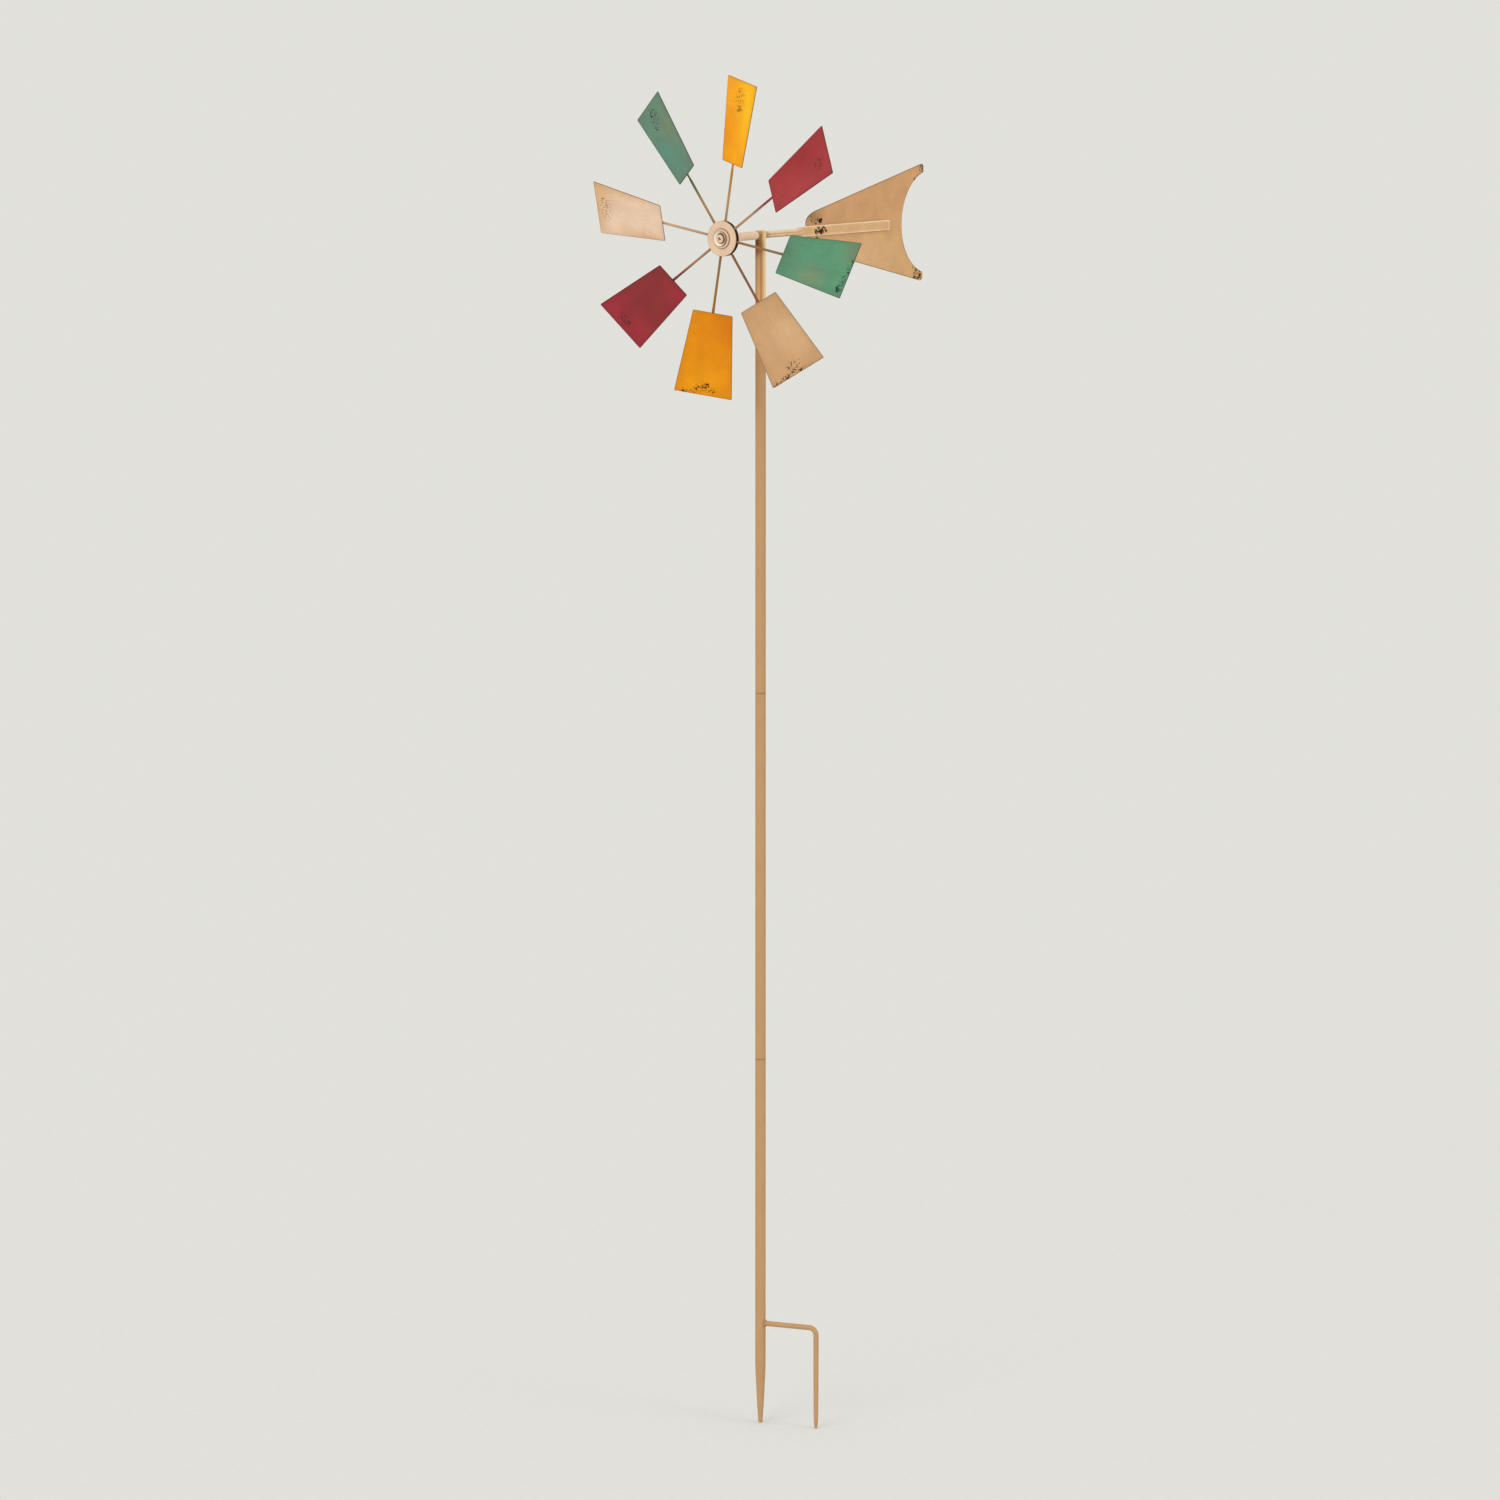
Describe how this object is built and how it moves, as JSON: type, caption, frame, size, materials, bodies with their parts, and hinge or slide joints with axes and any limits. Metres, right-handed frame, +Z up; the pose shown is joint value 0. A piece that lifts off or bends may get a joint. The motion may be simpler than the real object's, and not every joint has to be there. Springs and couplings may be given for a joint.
{
  "type": "garden windmill",
  "caption": "Tall garden windmill: a wind rotor of flat coloured blades on a swivelling, tail-steered head, on a sectional ground stake with a side step prong.",
  "frame": {"origin": "on the stake's axis at ground level, where the step bar meets the turf", "axes": "+Z up along the stake, -Y out of the rotor's face, +Y towards the tail vane, +X out to the right of the rotor's face, 11.5 degrees from the way the side prong's step bar points"},
  "size_m": [0.455, 0.505, 1.9385],
  "materials": {
    "pole_tan": "satin tan enamel",
    "head_cream": "distressed cream enamel with a brown antique wash",
    "vane_tan": "distressed tan enamel, chipped dark at the corners",
    "yellow_paint": "distressed golden yellow enamel",
    "red_paint": "distressed brick red enamel",
    "green_paint": "distressed sage green enamel",
    "beige_paint": "distressed beige enamel",
    "zinc_steel": "bright zinc plate",
    "bush_nylon": "moulded black nylon"
  },
  "bodies": {
    "stake": {"lower_pole": "pole_tan", "middle_pole": "pole_tan", "upper_pole": "pole_tan", "lower_ferrule": "zinc_steel", "upper_ferrule": "zinc_steel", "side_prong": "pole_tan", "pin_socket": "zinc_steel", "swivel_pin": "zinc_steel", "thrust_washer": "zinc_steel"},
    "head": {"swivel_sleeve": "head_cream", "lower_swivel_bush": "bush_nylon", "upper_swivel_bush": "bush_nylon", "bearing_barrel": "head_cream", "front_axle_bush": "bush_nylon", "rear_axle_bush": "bush_nylon", "boom_tube": "head_cream", "tail_vane": "vane_tan"},
    "rotor": {"rotor_axle": "zinc_steel", "axle_clip": "zinc_steel", "spacer_washer": "zinc_steel", "rear_hub_disc": "head_cream", "hub_core": "head_cream", "front_hub_disc": "head_cream", "hub_washer": "head_cream", "cup_washer": "head_cream", "axle_screw": "head_cream", "yellow_spoke_1": "yellow_paint", "yellow_blade_1": "yellow_paint", "red_spoke_1": "red_paint", "red_blade_1": "red_paint", "green_spoke_1": "green_paint", "green_blade_1": "green_paint", "beige_spoke_1": "beige_paint", "beige_blade_1": "beige_paint", "yellow_spoke_2": "yellow_paint", "yellow_blade_2": "yellow_paint", "red_spoke_2": "red_paint", "red_blade_2": "red_paint", "beige_spoke_2": "beige_paint", "beige_blade_2": "beige_paint", "green_spoke_2": "green_paint", "green_blade_2": "green_paint"}
  },
  "joints": [
    {"name": "head_swivel", "type": "hinge", "parent": "stake", "child": "head", "pos_m": [0, 0, 1.5665], "axis": [0, 0, 1], "continuous": true},
    {"name": "rotor_spin", "type": "hinge", "parent": "head", "child": "rotor", "pos_m": [0, -0.088, 1.5665], "axis": [0, 1, 0], "continuous": true}
  ]
}
